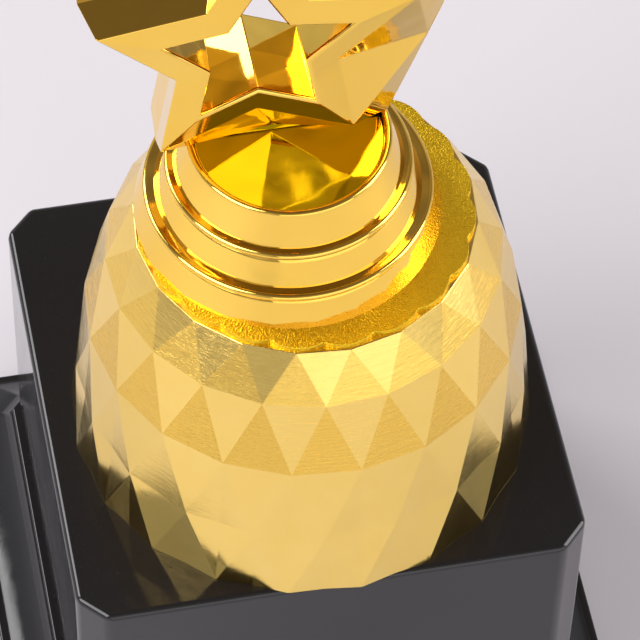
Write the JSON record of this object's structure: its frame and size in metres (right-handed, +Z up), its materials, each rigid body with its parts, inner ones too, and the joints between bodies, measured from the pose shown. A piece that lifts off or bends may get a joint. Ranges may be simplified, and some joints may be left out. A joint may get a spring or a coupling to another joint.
{
  "type": "star trophy",
  "caption": "Gold five-pointed open star on three stepped round collars and a diamond-cut bell, fixed to a square gloss black plinth with a flared foot.",
  "frame": {"origin": "centre of the plinth's underside, on the surface it stands on", "axes": "+Z up, the front of the star toward -Y, +X to the right seen from the front"},
  "size_m": [0.124, 0.124, 0.229],
  "materials": {
    "black_gloss": "high gloss, mirror-like top",
    "satin_gold": "satin, finely striated facets",
    "mirror_gold": "polished mirror",
    "grained_gold": "sand-blasted grain",
    "zinc_steel": "zinc plated",
    "ballast": "as cast",
    "cover_plastic": "matte, fine texture",
    "rubber_pad": "matte"
  },
  "bodies": {
    "root": {"base_foot": "black_gloss", "base_block": "black_gloss", "base_weight": "ballast", "bottom_cover": "cover_plastic", "rubber_feet": "rubber_pad", "cover_screws": "zinc_steel", "rod_washer_lower": "zinc_steel", "rod_nut_lower": "zinc_steel", "tie_rod": "zinc_steel", "bell_floor": "cover_plastic", "bell_shell": "satin_gold", "spacer_tube": "zinc_steel", "shoulder_disc": "grained_gold", "rod_washer_upper": "zinc_steel", "rod_nut_upper": "zinc_steel", "collar_lower": "mirror_gold", "collar_middle": "mirror_gold", "collar_upper": "mirror_gold", "collar_screws": "zinc_steel", "top_cap": "mirror_gold", "star_front": "mirror_gold", "star_back": "mirror_gold", "star_dowels": "zinc_steel", "star_screws": "zinc_steel"}
  },
  "joints": []
}
